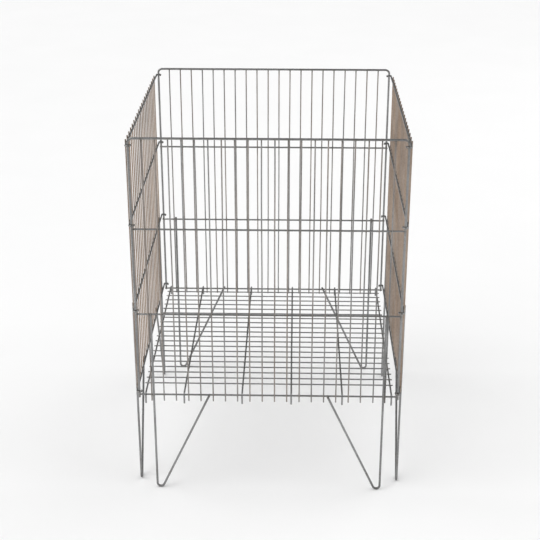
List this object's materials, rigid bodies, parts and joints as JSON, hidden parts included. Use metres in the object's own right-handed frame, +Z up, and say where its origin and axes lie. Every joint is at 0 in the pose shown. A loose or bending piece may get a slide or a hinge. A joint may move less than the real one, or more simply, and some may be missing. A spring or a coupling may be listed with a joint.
{
  "type": "wire mesh container",
  "caption": "Folding open-top wire mesh bin on V-shaped wire legs, with panels hinged at the corners by wire eyes and a hooked wire shelf as its floor.",
  "frame": {"origin": "on the floor, under the centre of the bin", "axes": "+X to the right seen from the front, +Y from the front panel to the back panel, +Z up"},
  "size_m": [0.6038, 0.5938, 0.85],
  "materials": {
    "frame_wire": "bright zinc-plated drawn wire",
    "cross_wire": "bright zinc-plated drawn wire",
    "mesh_wire": "zinc-plated drawn wire",
    "leg_wire": "zinc-plated drawn wire",
    "shelf_wire": "zinc-plated drawn wire"
  },
  "bodies": {
    "back_panel": {"back_rim_frame": "frame_wire", "back_lower_cross_wire": "cross_wire", "back_middle_cross_wire": "cross_wire", "back_upper_cross_wire": "cross_wire", "back_mesh_wires": "mesh_wire", "back_left_leg": "leg_wire", "back_right_leg": "leg_wire"},
    "left_panel": {"left_top_eye_wire": "cross_wire", "left_upper_eye_wire": "cross_wire", "left_middle_eye_wire": "cross_wire", "left_lower_eye_wire": "cross_wire", "left_mesh_wires": "mesh_wire", "left_front_leg": "leg_wire", "left_back_leg": "leg_wire"},
    "right_panel": {"right_top_eye_wire": "cross_wire", "right_upper_eye_wire": "cross_wire", "right_middle_eye_wire": "cross_wire", "right_lower_eye_wire": "cross_wire", "right_mesh_wires": "mesh_wire", "right_front_leg": "leg_wire", "right_back_leg": "leg_wire"},
    "front_panel": {"front_rim_frame": "frame_wire", "front_lower_cross_wire": "cross_wire", "front_middle_cross_wire": "cross_wire", "front_upper_cross_wire": "cross_wire", "front_mesh_wires": "mesh_wire", "front_left_leg": "leg_wire", "front_right_leg": "leg_wire"},
    "shelf": {"shelf_bar_1": "shelf_wire", "shelf_bar_2": "shelf_wire", "shelf_bar_3": "shelf_wire", "shelf_bar_4": "shelf_wire", "shelf_bar_5": "shelf_wire", "shelf_bar_6": "shelf_wire", "shelf_grid_wires": "shelf_wire"}
  },
  "joints": [
    {"name": "left_hinge", "type": "hinge", "parent": "back_panel", "child": "left_panel", "pos_m": [-0.29, 0.29, 0.54], "axis": [0, 0, 1], "range_deg": [-0.5, 0.5]},
    {"name": "right_hinge", "type": "hinge", "parent": "back_panel", "child": "right_panel", "pos_m": [0.29, 0.29, 0.54], "axis": [0, 0, 1], "range_deg": [-0.5, 0.5]},
    {"name": "front_hinge", "type": "hinge", "parent": "left_panel", "child": "front_panel", "pos_m": [-0.29, -0.29, 0.54], "axis": [0, 0, 1], "range_deg": [-0.5, 0.5]},
    {"name": "shelf_tilt", "type": "hinge", "parent": "back_panel", "child": "shelf", "pos_m": [0, 0.2855, 0.243], "axis": [-1, 0, 0], "range_deg": [0, 78]}
  ],
  "couplings": [
    {"joint": "right_hinge", "follows": "left_hinge", "ratio": 1},
    {"joint": "front_hinge", "follows": "left_hinge", "ratio": -1}
  ]
}
